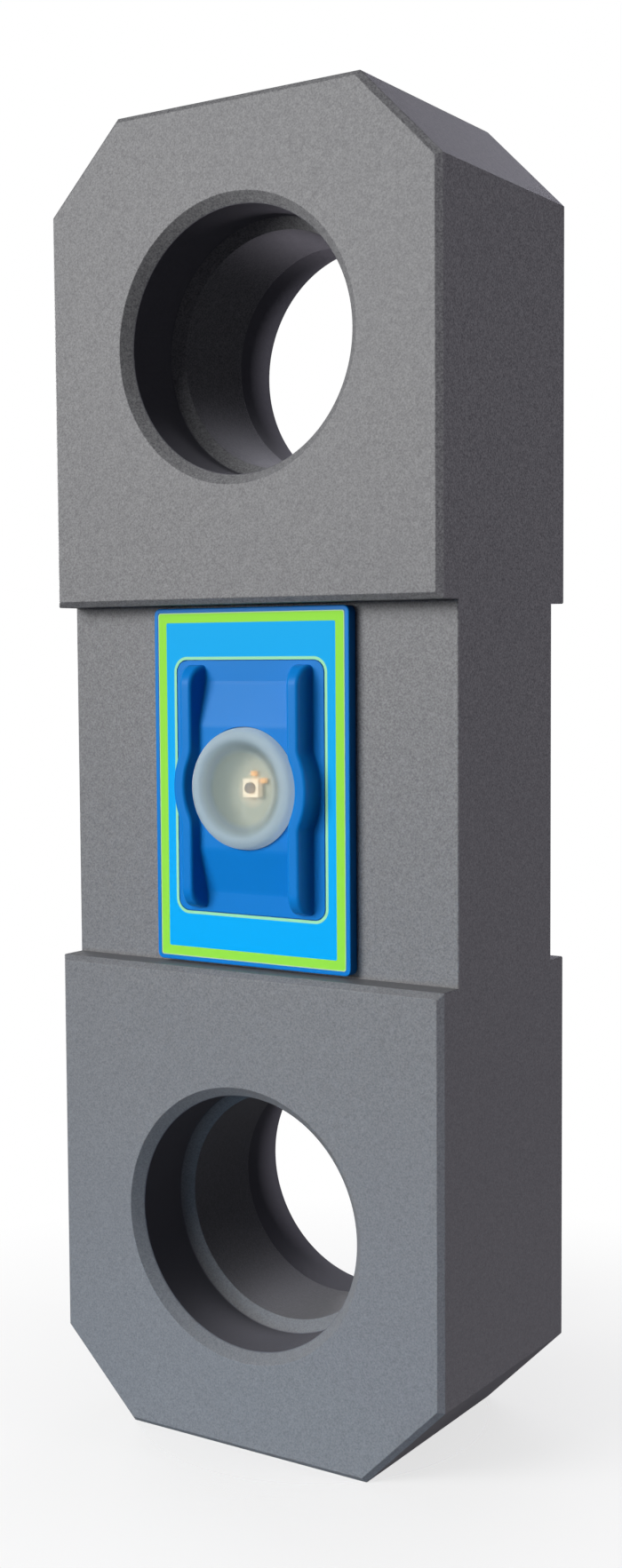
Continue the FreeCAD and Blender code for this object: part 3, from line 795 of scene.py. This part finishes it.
def coated_steel():
    """Matt grey coat with a fine grain, calmer towards the foot, and painted shade that darkens the walls of
    the bores.
    """
    made, tree, shader = new_material("coated_steel", COAT, Specular_IOR_Level=COAT_SPECULAR)
    grain = noise(tree, *GRAIN)
    shares = [math_node(tree, "MULTIPLY", grain, GRAIN_SHARE),
              math_node(tree, "MULTIPLY", noise(tree, *MOTTLE), 1 - GRAIN_SHARE)]
    tone = math_node(tree, "ADD", *shares)
    speckle = mix(tree, spread(tree, tone, *TONE_RANGE), COAT_DARK, COAT_PALE)
    strength = spread(tree, coordinates(tree)["Z"], *GRAIN_FADE, GRAIN_CALM, 1)
    color = mix(tree, strength, COAT, speckle)
    cloud = spread(tree, noise(tree, CLOUD_SIZE), *NOISE_RANGE, 0, CLOUD_SHARE)
    color = mix(tree, cloud, color, COAT_CLOUD)
    # Painted shade: the coat is darkened on the walls of the bores, where shade falls.
    painted_bore_shade = spread(tree, gap(tree, eye_radius(tree), EYE_BORE_R), *BORE_SHADE_BLEND, BORE_SHADE_SHARE, 0)
    color = mix(tree, painted_bore_shade, color, COAT_BORE_SHADE)
    tree.links.new(color, shader.inputs["Base Color"])
    tree.links.new(spread(tree, grain, *NOISE_RANGE, *COAT_ROUGHNESS), shader.inputs["Roughness"])
    bump(tree, shader, tone, *COAT_RELIEF)
    return made


def housing_plastic():
    """Moulded plastic with a fine eroded texture."""
    made, tree, shader = new_material("housing_plastic", PLASTIC, Specular_IOR_Level=PLASTIC_SPECULAR)
    cloud = spread(tree, noise(tree, PLASTIC_CLOUD), *PLASTIC_CLOUD_RANGE, 0, PLASTIC_CLOUD_SHARE)
    tree.links.new(mix(tree, cloud, PLASTIC, PLASTIC_DARK), shader.inputs["Base Color"])
    grain = noise(tree, PLASTIC_GRAIN)
    tree.links.new(spread(tree, grain, *NOISE_RANGE, *PLASTIC_ROUGHNESS), shader.inputs["Roughness"])
    bump(tree, shader, grain, *PLASTIC_RELIEF)
    return made


def rectangle_distance(tree, half, corner):
    """Signed distance from a rounded rectangle on the front, less than nothing inside."""
    parts = coordinates(tree)
    along = math_node(tree, "SUBTRACT", parts["Z"], MID_Z)
    offsets = []
    for value, reach in ((parts["X"], half[0]), (along, half[1])):
        offsets.append(math_node(tree, "SUBTRACT", math_node(tree, "ABSOLUTE", value), reach - corner))
    length = distance(tree, *[math_node(tree, "MAXIMUM", o, 0.0) for o in offsets])
    within = math_node(tree, "MINIMUM", math_node(tree, "MAXIMUM", *offsets), 0.0)
    return math_node(tree, "SUBTRACT", math_node(tree, "ADD", length, within), corner)


def printed_film():
    """Printed film: green border, light blue field and a pale line round the window, with a painted sheen
    towards the top and a painted highlight along the edge.
    """
    made, tree, shader = new_material("printed_film", FIELD_TOP_WITH_SHEEN, Roughness=FILM_ROUGHNESS,
                                      Specular_IOR_Level=FILM_SPECULAR)
    # Painted sheen: the field turns a little redder and less blue towards the top, as a sheen would make it.
    painted_sheen_upwards = spread(tree, coordinates(tree)["Z"], MID_Z - FILM_HALF[1], MID_Z + FILM_HALF[1])
    field = mix(tree, painted_sheen_upwards, FIELD_LOW, FIELD_TOP_WITH_SHEEN)
    border = rectangle_distance(tree, BORDER_HALF, BORDER_CORNER)
    color = mix(tree, spread(tree, border, -PRINT_SOFT, PRINT_SOFT), field, BORDER_GREEN)
    line = rectangle_distance(tree, grown(WINDOW_HALF, LINE_WIDTH), WINDOW_CORNER + LINE_WIDTH)
    color = mix(tree, spread(tree, line, PRINT_SOFT, -PRINT_SOFT), color, LINE_GREEN)
    # Painted highlight: a pale line along the film's cut edge stands for light catching it.
    edge = rectangle_distance(tree, grown(FILM_HALF, -EDGE_HIGHLIGHT_WIDTH), FILM_CORNER)
    color = mix(tree, spread(tree, edge, -PRINT_SOFT, PRINT_SOFT), color, EDGE_HIGHLIGHT)
    tree.links.new(color, shader.inputs["Base Color"])
    bump(tree, shader, noise(tree, FILM_GRAIN), *FILM_RELIEF)
    return made


def painted_cap_light(tree, across, along, radius, wall):
    """Light painted on the cap: more on faces turned away from the main light, with warm painted halos."""
    normal = tree.nodes.new("ShaderNodeNewGeometry").outputs["Normal"]
    lit = add_node(tree, "ShaderNodeVectorMath", V0=normal, V1=LIT_SIDE)
    lit.operation = "DOT_PRODUCT"
    tilt = spread(tree, lit.outputs["Value"], -LIT_TILT, LIT_TILT)
    painted_light = mix(tree, wall, mix(tree, tilt, *RIM_PAINTED_LIGHT), mix(tree, tilt, *WALL_PAINTED_LIGHT))
    painted_light = mix(tree, spread(tree, radius, *DISC_BLEND), DISC_PAINTED_LIGHT, painted_light)
    for at, reach, share, color in PAINTED_HALOS:
        offsets = [math_node(tree, "SUBTRACT", v, shift) for v, shift in zip((across, along), at)]
        painted_halo = spread(tree, distance(tree, *offsets), 0, reach, share, 0)
        painted_light = mix(tree, painted_halo, painted_light, color)
    return painted_light


def frosted_silicone():
    """Frosted silicone whose emission paints light on it, with painted shade round the dish's wall, clearer
    in the middle and on its hidden underside.
    """
    made, tree, shader = new_material(
        "frosted_silicone", SILICONE, Specular_IOR_Level=SILICONE_SPECULAR, Emission_Strength=1.0,
        Subsurface_Weight=1.0, Subsurface_Radius=(1, 1, 1), Subsurface_Scale=SILICONE_DEPTH,
        Subsurface_Anisotropy=SILICONE_FORWARD, Sheen_Weight=SILICONE_SHEEN, Sheen_Roughness=SHEEN_ROUGHNESS)
    parts = coordinates(tree)
    along = math_node(tree, "SUBTRACT", parts["Z"], MID_Z)
    radius = distance(tree, parts["X"], along)
    frost = spread(tree, radius, FROST_FROM, FROST_TO, MIDDLE_FROST, RIM_FROST)
    top = spread(tree, parts["Y"], -MID_HALF - BUTTON_FLANGE_TOP, -MID_HALF - BUTTON_UNDER, 1, 0)
    tree.links.new(math_node(tree, "MULTIPLY", frost, top), shader.inputs["Alpha"])
    wall = spread(tree, gap(tree, radius, WALL_R), 0, WALL_REACH, 1, 0)
    # Painted shade: the silicone is darker round the dish's wall, where the valley lies in shade.
    tree.links.new(mix(tree, wall, SILICONE, WALL_SHADE_SILICONE), shader.inputs["Base Color"])
    # Painted light: the emission lights the cap by the way its faces turn, and adds warm painted halos over
    # the lit parts under it.
    tree.links.new(painted_cap_light(tree, parts["X"], along, radius, wall), shader.inputs["Emission Color"])
    cloud = noise(tree, *SILICONE_CLOUD)
    tree.links.new(spread(tree, cloud, *NOISE_RANGE, *SILICONE_ROUGHNESS), shader.inputs["Roughness"])
    bump(tree, shader, noise(tree, SILICONE_GRAIN), *SILICONE_RELIEF)
    return made


def plain(name, color, roughness, grain=SMALL_GRAIN, **values):
    """Finish of a small piece, with a fine grain of this size and a little change of tone."""
    made, tree, shader = new_material(name, color, Roughness=roughness, **values)
    pattern = noise(tree, grain)
    shadow = tuple(SHADOW_SHARE * c for c in color)
    tone = spread(tree, pattern, *NOISE_RANGE)
    tree.links.new(mix(tree, tone, shadow, color), shader.inputs["Base Color"])
    bump(tree, shader, pattern, *SMALL_RELIEF)
    return made


def amber_light():
    """Lit amber package."""
    made, tree, shader = new_material("amber_light", LED, Roughness=LED_ROUGHNESS, Emission_Color=LED_LIGHT,
                                      Emission_Strength=LED_STRENGTH)
    bump(tree, shader, noise(tree, LED_GRAIN), *LED_RELIEF)
    return made


def gauge_foil():
    """Amber film with fine metal grid lines."""
    made, tree, shader = new_material("gauge_foil", FOIL, Roughness=FOIL_ROUGHNESS)
    wave = add_node(tree, "ShaderNodeTexWave", Vector=position(tree), Scale=FOIL_LINE_SCALE).outputs["Fac"]
    lines = spread(tree, wave, *FOIL_LINE_RANGE)
    tree.links.new(mix(tree, lines, FOIL, FOIL_LINE), shader.inputs["Base Color"])
    bump(tree, shader, wave, *FOIL_RELIEF)
    return made


def slot_materials():
    """Finish of each of the record's slots."""
    made = {name: plain(name, **values) for name, values in SMALL_FINISHES.items()}
    made["coated_steel"] = coated_steel()
    made["housing_plastic"] = housing_plastic()
    made["film_print"] = printed_film()
    made["button_silicone"] = frosted_silicone()
    made["led_amber"] = amber_light()
    made["gauge_foil"] = gauge_foil()
    return made


# Stage

def floor_material():
    """Pale floor that fades out away from the part."""
    made, tree, shader = new_material("floor", FLOOR_COLOR, Roughness=FLOOR_ROUGHNESS)
    far = add_node(tree, "ShaderNodeVectorMath", V0=position(tree))
    far.operation = "LENGTH"
    clear = tree.nodes.new("ShaderNodeBsdfTransparent")
    clearness = spread(tree, far.outputs["Value"], FLOOR_CLEAR, FLOOR_RADIUS, 1 - FLOOR_OPACITY, 1)
    blend = add_node(tree, "ShaderNodeMixShader", V0=clearness, V1=shader.outputs["BSDF"],
                     V2=clear.outputs["BSDF"])
    tree.links.new(blend.outputs["Shader"], tree.nodes["Material Output"].inputs["Surface"])
    return made


def floor():
    """Round floor under the part."""
    mesh = bmesh.new()
    bmesh.ops.create_circle(mesh, cap_ends=True, radius=FLOOR_RADIUS, segments=FLOOR_SEGMENTS)
    piece = add_object("floor", mesh)
    piece.data.materials.append(floor_material())


def area_light(name, at, aim, size, power, color, beam=WIDE_BEAM):
    """Soft box aimed at a point, with its power in watts and its beam in degrees."""
    lamp = bpy.data.lights.new(name, "AREA")
    lamp.shape = "RECTANGLE"
    lamp.size, lamp.size_y = size
    lamp.energy = power
    lamp.spread = math.radians(beam)
    lamp.color = color
    piece = bpy.data.objects.new(name, lamp)
    piece.location = at
    piece.rotation_euler = (Vector(aim) - Vector(at)).to_track_quat("-Z", "Y").to_euler()
    bpy.context.scene.collection.objects.link(piece)


def world():
    """White surround for the camera, and a dim even light on the part."""
    made = bpy.data.worlds.new("studio")
    made.use_nodes = True
    tree = made.node_tree
    dim = tree.nodes["Background"]
    dim.inputs["Color"].default_value = AMBIENT_COLOR
    dim.inputs["Strength"].default_value = AMBIENT
    white = add_node(tree, "ShaderNodeBackground", Color=(*WHITE, 1), Strength=1.0)
    seen = tree.nodes.new("ShaderNodeLightPath").outputs["Is Camera Ray"]
    blend = add_node(tree, "ShaderNodeMixShader", V0=seen, V1=dim.outputs[0], V2=white.outputs[0])
    tree.links.new(blend.outputs["Shader"], tree.nodes["World Output"].inputs["Surface"])
    bpy.context.scene.world = made


def camera():
    """Camera at the picture's place."""
    lens = bpy.data.cameras.new("camera")
    lens.sensor_width = CAMERA_SENSOR_MM
    lens.lens = CAMERA_LENS_MM
    piece = bpy.data.objects.new("camera", lens)
    az, el = CAMERA_AZIMUTH, CAMERA_ELEVATION
    back = Vector((math.sin(az) * math.cos(el), -math.cos(az) * math.cos(el), math.sin(el)))
    right = Vector((math.cos(az), math.sin(az), 0))
    up = back.cross(right)
    upright = Matrix((right, up, back)).transposed().to_4x4()
    piece.matrix_world = Matrix.Translation(CAMERA_AT) @ upright @ Matrix.Rotation(CAMERA_ROLL, 4, "Z")
    bpy.context.scene.collection.objects.link(piece)
    bpy.context.scene.camera = piece


def stage():
    """Floor, lights, surround and camera."""
    floor()
    for name, values in LIGHTS.items():
        area_light(name, **values)
    world()
    camera()
    bpy.context.scene.view_settings.view_transform = "Standard"


def dress(materials):
    """New pieces for the visible forms, and a finish on every node."""
    for row in frame["record"]["subparts"]:
        node = frame["nodes"][row["node"]]
        node.data.materials.clear()
        node.data.materials.append(materials[row["material_slot"]])
    stand_for(link_body(), "link_body", "link", "coated_steel", materials)
    stand_for(sensor_housing(), "sensor_housing", "link", "housing_plastic", materials)
    stand_for(battery_cover(), "battery_cover", "link", "housing_plastic", materials)
    stand_for(button_cap(), "button_cap", "button", "button_silicone", materials)


dress(slot_materials())
stage()
